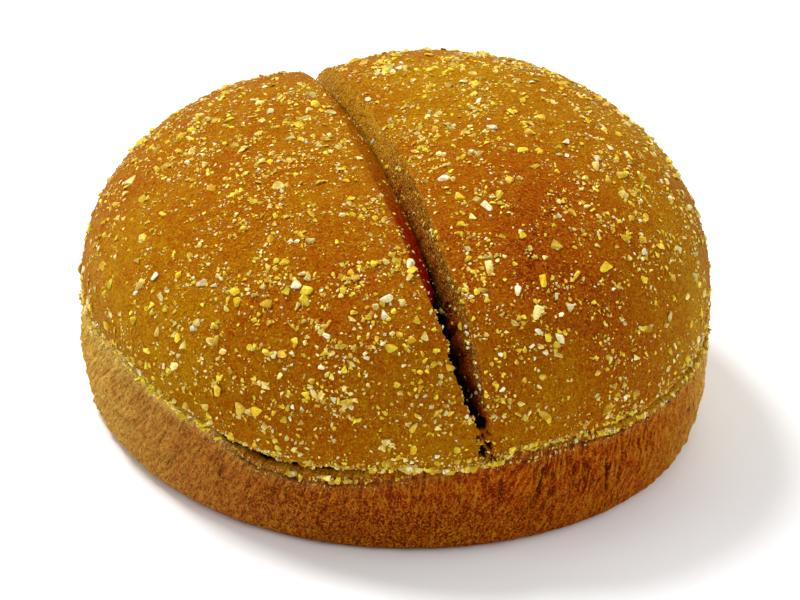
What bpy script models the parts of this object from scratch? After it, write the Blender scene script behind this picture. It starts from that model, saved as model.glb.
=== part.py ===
# A burger bun: one baked piece with a flat base.
# The heel is a low barrelled wall. The crown overhangs it at a wavy lip, and one deep slash along Y splits
# the crown into a lower left lobe and a higher right lobe. Coarse cornmeal grits are baked onto the crust.
# Metres, +Z up, the base on Z = 0, the middle of the outline on the Z axis.
import math
import random

import bmesh
import bpy
from mathutils import Matrix, Vector

# Driving dimensions
CROWN_RADIUS = 0.0510  # a four-inch bun
CROWN_RISE = 0.0304  # from the lip to the top of the dome
RISE_POWER = 2.55  # a rounder dome takes a lower power, a boxier one a higher power
SHOULDER_POWER = 2.92
LIP_HEIGHT = 0.0172  # mean height of the crown's lower edge
LIP_TUCK = 0.0004  # how far the crown draws in at its lip
TUCK_HEIGHT = 0.0070
LEAN = 0.120  # rise of the top towards +X, so that the right lobe stands higher
TOP_SHIFT = Vector((-0.0014, 0.0020))  # the top lies off the foot's middle

FOOT_RADIUS = 0.0502
HEEL_TOP_RADIUS = 0.0498
HEEL_BARREL = 0.0011  # how far the heel's wall swells between its foot and the lip
FOOT_ROUND = 0.0026

FOLD_GAP = 0.0009  # mean opening of the fold under the lip
FOLD_DEPTH = 0.0021
FOLD_OPEN_TURN = -128  # degrees: where the fold gapes most, at the front left
FOLD_OPEN_WIDTH = 26
FOLD_OPEN_MORE = 1.5
FOLD_CLOSED_TURN = 177  # where the fold closes to a soft crease
FOLD_CLOSED_WIDTH = 30
FOLD_CLOSED_LESS = 0.8
FOLD_DEEPEST = 1.4  # of the mean depth, however wide the fold gapes
FOLD_EDGE = 0.45  # height of the fold's inner edge below the lip, of the opening
BASE_RING = 0.55  # a ring inside the flat base, of the foot's radius

# Waves round the outline: (number round the bun, half height, turn in degrees of one crest)
LIP_WAVES = ((1, 0.0006, -16), (2, 0.0009, -53), (3, 0.0007, -42), (4, 0.0006, 20), (5, 0.0011, -23))
OUTLINE_WAVES = ((2, 0.0005, -30), (3, 0.0004, 31), (4, 0.0005, 45))

# The slash, along its way over the crown: 0 at the front lip, 0.5 on top, 1 at the back lip
SLASH_X = -0.00665
SLASH_DRIFT = 0.0052  # towards +X by the back lip
SLASH_HOOK = 0.0053  # towards +X just above the front lip
SLASH_HOOK_LENGTH = 0.065
SLASH_WALL = 0.0039  # depth of the open walls
SLASH_DEPTH = 0.0056  # depth of the narrow crease below them
SLASH_START, SLASH_FULL, SLASH_FADE, SLASH_END = 0.012, 0.060, 0.88, 0.975
SLASH_RIGHT = 0.0016  # the steep right wall's width, seen from above
SLASH_LEFT = 0.0042  # the rounded left shoulder's width
SLASH_CLEAR = 0.0040  # how far the cutter stands proud of the crust
SLASH_LEAST, SLASH_NARROWEST = 0.02, 0.2  # shares of full depth and width that it keeps at its ends
VALLEY_DEPTH = 0.0016  # the lobes roll down towards the slash
VALLEY_WIDTH = 0.0080
VALLEY_FULL = 0.45  # share of the crown's rise over which the valley grows in

STEPS_ROUND = 64
CROWN_ROWS = 19
HEEL_ROWS = 5
SLASH_STATIONS = 32
SLASH_FIRST, SLASH_LAST = 0.006, 0.992  # where the cutter begins and ends, between the lips
SLASH_STEP = 0.008  # over which the crust's own direction is taken

GRIT_COUNT = 190
GRIT_LONG, GRIT_SHORT = 0.0024, 0.0013
GRIT_FALL = 0.6  # under 1, the large grains are few
GRIT_WIDTH, GRIT_THICK = 0.78, 0.50  # of its length
GRIT_WIDTH_SPREAD = 0.2
GRIT_ROUGH = 0.20
GRIT_SUNK = 0.02  # how far its middle lies over the crust, of its length
GRIT_SPACING = 0.0042
GRIT_SEED = 29
GRIT_LOWEST = 0.0026  # above the lip
STEEPEST = 6  # slope of the crust at the lip, which takes the most grits for its height
SLOPE_STEP = 0.0001
SLASH_BARE = 0.0052  # grits this near the slash are left out
# Sprinkled patches on the crown: (x, y, radius, weight)
GRIT_PATCHES = (
    (-0.020, -0.038, 0.022, 1.0),
    (0.012, -0.040, 0.016, 0.6),
    (0.018, 0.012, 0.030, 0.8),
    (0.044, -0.010, 0.016, 0.6),
    (-0.036, 0.004, 0.022, 0.6),
)
GRIT_EVERYWHERE = 0.45

CRUST_COLOUR = (0.479, 0.212, 0.024, 1.0)
CRUST_ROUGHNESS = 0.55
SMOOTH_ANGLE = math.radians(42)

BUN = "bun"


def fresh_collection(name):
    made = bpy.data.collections.new(name)
    bpy.context.scene.collection.children.link(made)
    return made


def apply_modifiers(item):
    graph = bpy.context.evaluated_depsgraph_get()
    made = bpy.data.meshes.new_from_object(item.evaluated_get(graph))
    old = item.data
    item.modifiers.clear()
    item.data = made
    bpy.data.meshes.remove(old)
    made.name = item.name


def wave_sum(waves, angle):
    return sum(half * math.cos(count * (angle - math.radians(turn))) for count, half, turn in waves)


def smooth(value):
    value = min(max(value, 0), 1)
    return value * value * (3 - 2 * value)


def bump(angle, turn, width):
    """1 at turn and 0 far from it, both in degrees."""
    away = (math.degrees(angle) - turn + 180) % 360 - 180
    return math.exp(-((away / width) ** 2))


def lip_height(angle):
    return LIP_HEIGHT + wave_sum(LIP_WAVES, angle)


def fold_opening(angle):
    """The fold's height and depth here, as shares of their mean."""
    gape = 1 + FOLD_OPEN_MORE * bump(angle, FOLD_OPEN_TURN, FOLD_OPEN_WIDTH)
    return gape * (1 - FOLD_CLOSED_LESS * bump(angle, FOLD_CLOSED_TURN, FOLD_CLOSED_WIDTH))


def crown_radius(rise):
    """Radius of the round dome at this height over the lip."""
    share = max(1 - (rise / CROWN_RISE) ** RISE_POWER, 0) ** (1 / SHOULDER_POWER)
    return CROWN_RADIUS * share - LIP_TUCK * max(0, 1 - rise / TUCK_HEIGHT) ** 2


def shaped(radius, angle, z):
    """Moves a point of the round, level bun to where the real, uneven one has it."""
    wide = radius * (1 + wave_sum(OUTLINE_WAVES, angle) / CROWN_RADIUS)
    lip = lip_height(angle)
    if z >= LIP_HEIGHT:
        up = (z - LIP_HEIGHT) / CROWN_RISE
        x = wide * math.cos(angle)
        y = wide * math.sin(angle)
        height = lip + (LIP_HEIGHT + CROWN_RISE - lip) * up + LEAN * x * up
        return rolled_in(Vector((x + TOP_SHIFT.x * up, y + TOP_SHIFT.y * up, height)), up)
    opening = fold_opening(angle)
    if z > LIP_HEIGHT - FOLD_GAP:
        height = lip - (LIP_HEIGHT - z) * opening
        wide = HEEL_TOP_RADIUS - (HEEL_TOP_RADIUS - wide) * min(opening, FOLD_DEEPEST)
    else:
        height = z * (lip - FOLD_GAP * opening) / (LIP_HEIGHT - FOLD_GAP)
    return Vector((wide * math.cos(angle), wide * math.sin(angle), height))


def way_of(point):
    """How far along the slash's way over the crown a point lies."""
    return math.atan2(max(point.z - LIP_HEIGHT, 0), -point.y) / math.pi


def slash_offset(way):
    """X of the slash's crease on its way over the crown."""
    return SLASH_X + SLASH_DRIFT * way + SLASH_HOOK * math.exp(-way / SLASH_HOOK_LENGTH)


def rolled_in(place, up):
    """Draws the crust in towards the crown's core beside the slash, as the two lobes roll down to it."""
    across = place.x - slash_offset(way_of(place))
    depth = VALLEY_DEPTH * math.exp(-((across / VALLEY_WIDTH) ** 2)) * smooth(up / VALLEY_FULL)
    return place - (place - Vector((0, 0, LIP_HEIGHT))).normalized() * depth


def profile_points():
    """The turned outline from the top of the crown down its outer side to the middle of the base."""
    points = []
    for row in range(CROWN_ROWS):
        along = math.pi / 2 * (1 - row / (CROWN_ROWS - 1))
        rise = CROWN_RISE * math.sin(along) ** (2 / RISE_POWER)
        points.append((crown_radius(rise) if row else 0.0, LIP_HEIGHT + rise))
    floor = LIP_HEIGHT - FOLD_GAP
    points.append((HEEL_TOP_RADIUS - FOLD_DEPTH, LIP_HEIGHT - FOLD_EDGE * FOLD_GAP))
    for row in range(HEEL_ROWS):
        down = row / (HEEL_ROWS - 1)
        z = floor + (FOOT_ROUND - floor) * down
        swell = HEEL_BARREL * math.sin(math.pi * down)
        points.append((HEEL_TOP_RADIUS + (FOOT_RADIUS - HEEL_TOP_RADIUS) * down + swell, z))
    for turn in (45, 90):
        inward = FOOT_ROUND * (1 - math.cos(math.radians(turn)))
        points.append((FOOT_RADIUS - inward, FOOT_ROUND * (1 - math.sin(math.radians(turn)))))
    points.append((FOOT_RADIUS * BASE_RING, 0.0))
    points.append((0.0, 0.0))
    return points


def turned_body(collection):
    """The round bun as a Screw on its outline, then every point moved to the uneven shape."""
    outline = profile_points()
    mesh = bpy.data.meshes.new(BUN)
    mesh.from_pydata([(r, 0, z) for r, z in outline], [(i, i + 1) for i in range(len(outline) - 1)], [])
    body = bpy.data.objects.new(BUN, mesh)
    collection.objects.link(body)
    screw = body.modifiers.new("Turned", "SCREW")
    screw.steps = screw.render_steps = STEPS_ROUND
    screw.use_merge_vertices = True
    screw.merge_threshold = 0.00005
    apply_modifiers(body)
    for vertex in body.data.vertices:
        x, y, z = vertex.co
        vertex.co = shaped(math.hypot(x, y), math.atan2(y, x), z)
    return body


def slash_share(way):
    """The slash's depth here, as a share of its full depth."""
    begin = smooth((way - SLASH_START) / (SLASH_FULL - SLASH_START))
    finish = smooth((SLASH_END - way) / (SLASH_END - SLASH_FADE))
    return max(begin * finish, SLASH_LEAST)


def crown_point(turn, x):
    """The crown's surface at this X, this far from the front lip (0) over the top (0.5) to the back (1)."""
    along = math.pi * min(turn, 1 - turn)
    rise = CROWN_RISE * math.sin(along) ** (2 / RISE_POWER)
    radius = max(crown_radius(rise), abs(x))
    depth = math.sqrt(radius**2 - x**2)
    angle = math.atan2(-depth if turn < 0.5 else depth, x)
    return shaped(radius, angle, LIP_HEIGHT + rise)


def slash_frame(turn):
    """The crease's place on the crust, the way out of the crust there, and how far on its way it is."""
    x = SLASH_X
    for _ in range(5):
        way = way_of(crown_point(turn, x))
        x = slash_offset(way)
    ahead = crown_point(min(turn + SLASH_STEP, 1), x) - crown_point(max(turn - SLASH_STEP, 0), x)
    return crown_point(turn, x), Vector((0, -ahead.z, ahead.y)).normalized(), way


def slash_section(share):
    """The cutter's section, (across, out of the crust): steep on the right, a round shoulder on the left."""
    wide = max(share, SLASH_NARROWEST)
    right, left = SLASH_RIGHT * wide, SLASH_LEFT * wide
    wall, crease = SLASH_WALL * share, SLASH_DEPTH * share
    return (
        (0.0, -crease),
        (0.22 * right, -wall),
        (0.60 * right, -0.55 * wall),
        (1.00 * right, 0.0),
        (1.60 * right, SLASH_CLEAR),
        (-1.60 * left, SLASH_CLEAR),
        (-1.00 * left, 0.02 * SLASH_CLEAR),
        (-0.72 * left, -0.16 * wall),
        (-0.42 * left, -0.50 * wall),
        (-0.20 * left, -wall),
    )


def slash_cutter(collection):
    """A bent wedge lofted over the crown: its section changes all the way, so rings are joined by hand."""
    shape = bmesh.new()
    rings = []
    for station in range(SLASH_STATIONS + 1):
        turn = SLASH_FIRST + (SLASH_LAST - SLASH_FIRST) * station / SLASH_STATIONS
        here, out, way = slash_frame(turn)
        ring = [
            shape.verts.new(here + Vector((across, 0, 0)) + out * proud)
            for across, proud in slash_section(slash_share(way))
        ]
        rings.append(ring)
    for first, second in zip(rings, rings[1:]):
        for a, b in zip(range(len(first)), [*range(1, len(first)), 0]):
            shape.faces.new((first[a], first[b], second[b], second[a]))
    shape.faces.new(rings[0])
    shape.faces.new(reversed(rings[-1]))
    bmesh.ops.recalc_face_normals(shape, faces=shape.faces)
    mesh = bpy.data.meshes.new("slash_cutter")
    shape.to_mesh(mesh)
    shape.free()
    cutter = bpy.data.objects.new("slash_cutter", mesh)
    cutter.hide_render = True
    cutter.display_type = "WIRE"
    collection.objects.link(cutter)
    return cutter


def sprinkled(x, y):
    """How likely a grit is to lie here, from 0 to 1."""
    thick = GRIT_EVERYWHERE
    for patch_x, patch_y, radius, weight in GRIT_PATCHES:
        away = ((x - patch_x) ** 2 + (y - patch_y) ** 2) / radius**2
        thick += weight * math.exp(-away)
    return min(thick, 1)


def grit_places(draw):
    """Places on the crown, spread evenly, with the direction out of the crust at each."""
    places = []
    while len(places) < GRIT_COUNT:
        rise = CROWN_RISE * draw.random()
        angle = math.tau * draw.random()
        lean = draw.random()
        luck = draw.random()
        radius = crown_radius(rise)
        wider = crown_radius(max(rise - SLOPE_STEP, 0)) - radius
        area_share = radius / CROWN_RADIUS * math.hypot(1, wider / SLOPE_STEP) / STEEPEST
        if lean > area_share or rise < GRIT_LOWEST:
            continue
        here = shaped(radius, angle, LIP_HEIGHT + rise)
        if luck > sprinkled(here.x, here.y):
            continue
        if abs(here.x - slash_offset(way_of(here))) < SLASH_BARE:
            continue
        if any((here - other).length < GRIT_SPACING for other, _ in places):
            continue
        round_way = shaped(radius, angle + 0.01, LIP_HEIGHT + rise) - here
        down_way = shaped(crown_radius(rise * 0.99), angle, LIP_HEIGHT + rise * 0.99) - here
        places.append((here, down_way.cross(round_way).normalized()))
    return places


def grit(collection, number, place, out, draw):
    """An angular broken grain, flattened against the crust."""
    share = (number / (GRIT_COUNT - 1)) ** GRIT_FALL
    length = GRIT_LONG + (GRIT_SHORT - GRIT_LONG) * share
    shape = bmesh.new()
    bmesh.ops.create_icosphere(shape, subdivisions=1, radius=length / 2)
    for corner in shape.verts:
        corner.co *= 1 + GRIT_ROUGH * draw.uniform(-1, 1)
    width = GRIT_WIDTH * (1 + GRIT_WIDTH_SPREAD * draw.uniform(-1, 1))
    bmesh.ops.scale(shape, vec=(1, width, GRIT_THICK), verts=shape.verts)
    turn = out.to_track_quat("Z", "X").to_matrix().to_4x4()
    spin = Matrix.Rotation(draw.uniform(0, math.tau), 4, "Z")
    shape.transform(Matrix.Translation(place + out * GRIT_SUNK * length) @ turn @ spin)
    mesh = bpy.data.meshes.new(f"grit_{number:03d}")
    shape.to_mesh(mesh)
    shape.free()
    made = bpy.data.objects.new(mesh.name, mesh)
    collection.objects.link(made)


def crust():
    material = bpy.data.materials.new("crust")
    material.use_nodes = True
    surface = material.node_tree.nodes["Principled BSDF"]
    surface.inputs["Base Color"].default_value = CRUST_COLOUR
    surface.inputs["Roughness"].default_value = CRUST_ROUGHNESS
    surface.inputs["Metallic"].default_value = 0.0
    return material


def join_grits(body, grits):
    """One union of the crown with all its grits, and the loose grains then removed."""
    union = body.modifiers.new("Grits baked on", "BOOLEAN")
    union.operation = "UNION"
    union.operand_type = "COLLECTION"
    union.collection = grits
    union.solver = "MANIFOLD"
    bpy.context.view_layer.update()
    apply_modifiers(body)
    for item in list(grits.objects):
        bpy.data.objects.remove(item)
    bpy.data.collections.remove(grits)


def centre_on_base(body):
    """Puts the middle of the outline's box on the Z axis and the base on Z = 0."""
    places = [vertex.co for vertex in body.data.vertices]
    low = Vector([min(place[axis] for place in places) for axis in range(3)])
    high = Vector([max(place[axis] for place in places) for axis in range(3)])
    body.data.transform(Matrix.Translation(Vector((-(low.x + high.x) / 2, -(low.y + high.y) / 2, -low.z))))


def build():
    for item in list(bpy.data.objects):
        bpy.data.objects.remove(item)
    parts = fresh_collection("burger bun")
    cutters = fresh_collection("cutters")
    body = turned_body(parts)

    cut = body.modifiers.new("Slash", "BOOLEAN")
    cut.operation = "DIFFERENCE"
    cut.object = slash_cutter(cutters)
    bpy.context.view_layer.update()
    apply_modifiers(body)

    draw = random.Random(GRIT_SEED)
    grits = fresh_collection("grits")
    for number, (place, out) in enumerate(grit_places(draw)):
        grit(grits, number, place, out, draw)
    join_grits(body, grits)
    centre_on_base(body)

    body.data.materials.clear()
    body.data.materials.append(crust())
    body.data.shade_smooth()
    body.data.set_sharp_from_angle(angle=SMOOTH_ANGLE)


build()
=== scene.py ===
# A burger bun with cornmeal grits baked on: the looks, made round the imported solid
import math
import random

import bmesh
import bpy
import numpy as np
from mathutils import Matrix, Vector, noise
from mathutils.bvhtree import BVHTree


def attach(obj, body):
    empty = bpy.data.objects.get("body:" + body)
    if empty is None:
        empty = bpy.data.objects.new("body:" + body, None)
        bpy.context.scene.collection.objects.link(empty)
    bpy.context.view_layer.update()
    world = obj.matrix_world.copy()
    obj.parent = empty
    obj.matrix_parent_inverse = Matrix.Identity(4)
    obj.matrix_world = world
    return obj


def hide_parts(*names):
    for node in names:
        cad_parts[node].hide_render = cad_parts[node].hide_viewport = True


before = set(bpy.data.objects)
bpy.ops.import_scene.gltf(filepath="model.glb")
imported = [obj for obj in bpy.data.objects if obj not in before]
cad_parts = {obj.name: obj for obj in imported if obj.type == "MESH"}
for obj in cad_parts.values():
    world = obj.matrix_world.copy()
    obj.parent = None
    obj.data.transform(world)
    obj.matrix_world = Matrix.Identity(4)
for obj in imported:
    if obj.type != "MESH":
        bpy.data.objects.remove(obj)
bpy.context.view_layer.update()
print("frame loaded")

millimetre = 0.001  # sizes and places below are in millimetres, from the middle of the bun's foot

bread = {  # the driving sizes of the solid
    "crownRadius": 51.0,
    "crownRise": 30.4,
    "risePower": 2.55,
    "shoulderPower": 2.92,
    "lipHeight": 17.2,
    "lipTuck": 0.4,
    "tuckHeight": 7.0,
    "lean": 0.12,
    "topShift": (-1.4, 2.0),
    "footRadius": 50.2,
    "heelTopRadius": 49.8,
    "heelBarrel": 1.1,
    "footRound": 2.6,
    "foldGap": 0.9,
    # where the fold under the lip gapes, and where it closes: turn and width in degrees, how much
    "gape": (-128, 26, 1.5),
    "closed": (177, 30, 0.8),
    # how many waves, half their height, turn
    "lipWaves": ((1, 0.6, -16), (2, 0.9, -53), (3, 0.7, -42), (4, 0.6, 20), (5, 1.1, -23)),
    "outlineWaves": ((2, 0.5, -30), (3, 0.4, 31), (4, 0.5, 45)),
    # noise on the crust: height, size, octaves, shift
    "relief": ((0.22, 15, 1, 0), (0.12, 6, 1, 7.3), (0.05, 1.9, 2, 3.1)),
}

slash = {
    "x": -6.65,
    "drift": 5.2,
    "hook": 5.3,
    "hookLength": 0.065,
    "valleyDepth": 1.6,
    "valleyWidth": 8.0,
    "valleyFull": 0.45,
    "reach": 7.0,  # nothing further from the crease is cut
    "wayLength": 130,  # of the whole way, for the noise along it
    # its section on the way from the front lip (0) over the top (0.5) to the back lip (1)
    "way": (
        0.0, 0.03, 0.045, 0.062, 0.08, 0.1, 0.12, 0.145, 0.165, 0.185,
        0.21, 0.25, 0.31, 0.39, 0.49, 0.6, 0.7, 0.8, 0.88, 0.96,
    ),
    # the depth its walls reach, and the depth of the gap between their feet
    "wall": (0, 0.2, 1.6, 2.8, 3.4, 3.8, 3.9, 3.9, 3.9, 3.9, 3.9, 4.0, 4.0, 3.9, 3.7, 3.9, 4.2, 4.2, 3.3, 0),
    "gap": (0, 0.3, 3.6, 6.0, 6.8, 7.2, 7.2, 7.2, 7.0, 6.6, 6.2, 5.8, 5.4, 5.1, 4.8, 4.9, 5.1, 4.9, 3.9, 0),
    # how far its edges and the feet of its walls lie to the left and right of its line
    "left": (
        0.8, 1.0, 1.3, 1.7, 1.7, 2.2, 2.1, 2.7, 3.1, 3.8,
        4.2, 4.2, 4.35, 4.55, 4.5, 4.1, 4.5, 4.2, 3.2, 1,
    ),
    "footLeft": (
        0.2, 0.5, 0.9, 1.3, 1.35, 1.8, 1.7, 1.9, 1.5, 1.0,
        0.6, 0.4, 0.25, 0.15, 0.15, 0.3, 0.5, 0.5, 0.4, 0.1,
    ),
    "footRight": (
        0.2, 0.5, 0.9, 0.9, 0.95, 0.75, 0.65, 0.6, 0.6, 0.5,
        0.3, 0.12, 0.08, 0.08, 0.08, 0, -0.2, -0.2, -0.2, 0.1,
    ),
    "right": (
        0.8, 1.2, 1.6, 1.8, 2.0, 2.1, 2.1, 2.1, 1.9, 1.45,
        1.3, 1.3, 1.6, 1.95, 1.8, 1.2, 0.95, 1.0, 1.0, 1,
    ),
    # how hollow its walls are
    "leftPower": (2, 2, 1.3, 1, 1, 1, 1, 1, 1.1, 1.1, 1.1, 1.1, 1.1, 1.2, 1.3, 1.3, 1.3, 1.3, 1.3, 1.3),
    "rightPower": (2, 1.6, 1.5, 1.5, 1.4, 1.3, 1.2, 1.1, 1.1, 1, 1, 1, 1, 1, 1, 1, 1, 1, 1.1, 1.3),
    # how rough the feet of its walls, its edges and its right wall are
    "rightFootRough": 0.3,
    "leftFootRough": 0.24,
    "edgeRough": 0.2,
    "leftEdgeRough": 0.22,
    "frontEdgeRough": 0.35,
    "frontWay": 0.2,
    "wallRough": 0.34,
    # the noise for it: size, octaves, shift
    "broadNoise": (2.4, 3, 0),
    "fineNoise": (1.1, 2, 4.4),
    "wallNoise": (1, 3, 21),
    "pitNoise": (0.55, 2, 15),
    "peelWidth": 0.14,
    # small holes where it ends above the front lip: across, way, radius, depth
    "pits": (
        (-0.9, 0.015, 0.75, 1.3), (0.4, 0.009, 0.55, 1), (0.3, 0.019, 0.5, 0.9), (-0.8, 0.003, 0.45, 0.8),
        (-0.2, 0.035, 0.6, 1.1), (-1.1, 0.024, 0.4, 0.7), (0.6, 0.028, 0.35, 0.6), (-0.3, 0.026, 0.35, 0.6),
    ),
    "pitWayLength": 157,  # millimetres of crust for each unit of way, close to the lip
    "tornPits": 0.7,
}


def waveSum(waves, angle):
    return sum(half * np.cos(count * (angle - math.radians(turn))) for count, half, turn in waves)


def smooth(value):
    value = np.clip(value, 0, 1)
    return value * value * (3 - 2 * value)


def bell(value, width=1.0):  # 1 at 0, less and less on both sides
    return np.exp(-((value / width) ** 2))


def turnFrom(angle, turn):  # in degrees, the shorter way round
    return (np.degrees(angle) - turn + 180) % 360 - 180


def bumpAt(angle, turn, width):
    return bell(turnFrom(angle, turn), width)


def stretchAt(angle, turn, half, fade):  # 1 near turn, and 0 once half away from it
    return smooth((half - np.abs(turnFrom(angle, turn))) / fade)


def lumps(places, size, octaves=1, shift=0.0):  # smooth noise from about -1 to 1
    rows = (places / np.asarray(size, float) + shift).tolist()
    if octaves == 1:
        return np.array([noise.noise(row) for row in rows])
    return np.array([noise.fractal(row, 1.0, 2.0, octaves) for row in rows])


def ringWays(angle):  # level ways out from the bun's middle
    return np.stack([np.cos(angle), np.sin(angle), angle * 0], -1)


def roundLumps(angle, size, octaves=1, shift=0.0):  # noise that closes on itself round the bun
    return lumps(ringWays(angle) * bread["crownRadius"], size, octaves, shift)


def summed(noises, noiseAt, where):  # of noises given by height, size, octaves and shift
    return sum(height * noiseAt(where, *kind) for height, *kind in noises)


def turnOf(places):
    return np.arctan2(places[:, 1], places[:, 0])


def lipHeight(angle):
    return bread["lipHeight"] + waveSum(bread["lipWaves"], angle)


def foldOpening(angle):
    (*gape, more), (*closed, less) = bread["gape"], bread["closed"]
    return (1 + more * bumpAt(angle, *gape)) * (1 - less * bumpAt(angle, *closed))


def domeRadius(rise):
    share = np.clip(1 - (rise / bread["crownRise"]) ** bread["risePower"], 0, None)
    tuck = bread["lipTuck"] * np.clip(1 - rise / bread["tuckHeight"], 0, None) ** 2
    return bread["crownRadius"] * share ** (1 / bread["shoulderPower"]) - tuck


def wayOf(places):
    return np.arctan2(np.clip(places[..., 2] - bread["lipHeight"], 0, None), -places[..., 1]) / math.pi


def slashX(way):
    return slash["x"] + slash["drift"] * way + slash["hook"] * np.exp(-way / slash["hookLength"])


def alongSlash(way, *names):
    values = [np.interp(way, slash["way"], slash[name]) for name in names]
    return values if len(values) > 1 else values[0]


def outlined(radius, angle):
    return radius * (1 + waveSum(bread["outlineWaves"], angle) / bread["crownRadius"])


def outward(places):
    out = places - (0, 0, bread["lipHeight"])
    return out / np.linalg.norm(out, axis=-1, keepdims=True)


def domePlace(radius, angle, rise):  # the uneven dome, before the slash is cut
    wide = outlined(radius, angle)
    lip = lipHeight(angle)
    up = rise / bread["crownRise"]
    x = wide * np.cos(angle)
    y = wide * np.sin(angle)
    z = lip + (bread["lipHeight"] + bread["crownRise"] - lip) * up + bread["lean"] * x * up
    place = np.stack([x + bread["topShift"][0] * up, y + bread["topShift"][1] * up, z], -1)
    across = place[..., 0] - slashX(wayOf(place))
    depth = slash["valleyDepth"] * bell(across, slash["valleyWidth"]) * smooth(up / slash["valleyFull"])
    return place - outward(place) * depth[..., None]


def meridian():  # rise over the lip for each share of the way from the top (0) down to the lip (1)
    along = np.linspace(0, math.pi / 2, 900)
    rise = bread["crownRise"] * np.sin(along) ** (2 / bread["risePower"])
    steps = np.hypot(np.diff(rise), np.diff(domeRadius(rise)))
    length = np.concatenate([[0], np.cumsum(steps)])
    return 1 - length[::-1] / length[-1], rise[::-1], length[-1]


meridianShare, meridianRise, meridianLength = meridian()


def fromDisc(x, y):  # a flat disc laid over the dome: its middle on top, its rim on the lip
    rise = np.interp(np.hypot(x, y), meridianShare, meridianRise)
    return domePlace(domeRadius(rise), np.arctan2(y, x), rise)


def creasePath():  # where the slash's crease runs on that disc, and the way out of the crust there
    y = np.linspace(-1, 1, 401)
    x = np.zeros_like(y)
    for _ in range(40):
        place = fromDisc(x, y)
        x = x + (slashX(wayOf(place)) - place[:, 0]) / (1.4 * meridianLength)
    place = fromDisc(x, y)
    ahead = np.gradient(place, axis=0)
    out = np.stack([np.zeros_like(y), -ahead[:, 2], ahead[:, 1]], -1)
    return y, x, wayOf(place), out / np.linalg.norm(out, axis=1, keepdims=True)


creaseY, creaseX, creaseWay, creaseOut = creasePath()
print("dome and crease laid out, meridian", round(float(meridianLength), 1), "mm")


def outOfCrease(way):
    return np.stack([np.interp(way, creaseWay, creaseOut[:, axis]) for axis in range(3)], -1)


def crustRelief(places):  # how far the baked crust stands over the plain dome
    return summed(bread["relief"], lumps, places)


def carved(places):  # cuts the slash into places on the dome, and says where in it each one lies
    way = wayOf(places)
    across = places[:, 0] - slashX(way)
    near = np.abs(across) < slash["reach"]
    way, across, crust = way[near], across[near], places[near]
    line = np.stack([way * slash["wayLength"], way * 0, way * 0], -1)
    broad, fine = lumps(line, *slash["broadNoise"]), lumps(line, *slash["fineNoise"])

    wall, gap, left, footLeft = alongSlash(way, "wall", "gap", "left", "footLeft")
    footRight, right, leftPower, rightPower = alongSlash(way, "footRight", "right", "leftPower", "rightPower")
    gapWidth = footLeft + footRight
    footRight = footRight + slash["rightFootRough"] * gapWidth * broad
    footLeft = footLeft + slash["leftFootRough"] * gapWidth * fine
    right = right + slash["edgeRough"] * fine
    leftRough = slash["leftEdgeRough"] + slash["frontEdgeRough"] * (way < slash["frontWay"])
    left = left + leftRough * fine + slash["edgeRough"] * broad

    toRight = np.clip((across - footRight) / (right - footRight), 0, 1)
    toLeft = np.clip((-across - footLeft) / (left - footLeft), 0, 1)
    onRight = across > (footRight - footLeft) / 2
    slope = np.where(onRight, (1 - toRight) ** rightPower, (1 - toLeft) ** leftPower)
    inGap = smooth(np.minimum(footRight - across, across + footLeft) / 0.1 + 0.5)
    rough = slash["wallRough"] * lumps(crust, *slash["wallNoise"]) * onRight
    depth = wall * slope + (gap - wall) * inGap + rough * slope * (1 - slope) * 4 * (1 - inGap)
    torn = 1 + slash["tornPits"] * lumps(crust, *slash["pitNoise"])
    for pitAcross, pitWay, radius, deep in slash["pits"]:
        away = np.hypot(across - pitAcross, (way - pitWay) * slash["pitWayLength"]) / radius * torn
        depth = depth + deep * np.clip(1 - away**2, 0, 1) ** 0.6

    cut = places.copy()
    cut[near] -= outOfCrease(way) * depth[:, None]
    facts = {}
    for name, inSlash, elsewhere in (
        ("way", way, 0), ("across", across, 99), ("depth", depth, 0), ("inGap", inGap, 0),
        ("onRight", onRight, 0), ("toRight", toRight, 1), ("toLeft", toLeft, 1),
        ("peel", bell(across - right, slash["peelWidth"]), 0),
    ):
        facts[name] = np.full(len(places), float(elsewhere))
        facts[name][near] = inSlash
    return cut, facts


# materials

shades = {  # base colours, linear
    "straw": (0.42, 0.2, 0.001, 1),
    "tan": (0.365, 0.136, 0.0008, 1),
    "amber": (0.325, 0.09, 0.0004, 1),
    "copper": (0.31, 0.057, 0.0003, 1),
    "deep": (0.145, 0.018, 0.0002, 1),
    "meal": (0.37, 0.135, 0.006, 1),
    "mealDark": (0.13, 0.034, 0.001, 1),
    # the dark red of the seared left wall, also used as painted shade deep in the slash and round its pits
    "searAndShade": (0.21, 0.0012, 0.0003, 1),
    # painted shade: a near black laid in the slash's gap, the pits, under the fold and in the seams, where
    # shade falls
    "paintedShade": (0.008, 0.0016, 0.0004, 1),
    "speck": (0.56, 0.285, 0.004, 1),
    "rim": (0.59, 0.285, 0.013, 1),
    "flour": (0.93, 0.58, 0.12, 1),
    # the heel, which lies in the crown's shade, is painted paler: painted light to make up for that shade
    "heelPale": (0.86, 0.475, 0.04, 1),
    "heelTan": (0.52, 0.205, 0.004, 1),
    "heelAmber": (0.49, 0.126, 0.001, 1),
    "heelCopper": (0.46, 0.07, 0.0006, 1),
    "heelDeep": (0.22, 0.022, 0.0003, 1),
    # painted highlight: the bright tone of the heel's specks and of the ridges along its strokes
    "heelSpeckAndHighlight": (0.68, 0.26, 0.012, 1),
}


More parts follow.
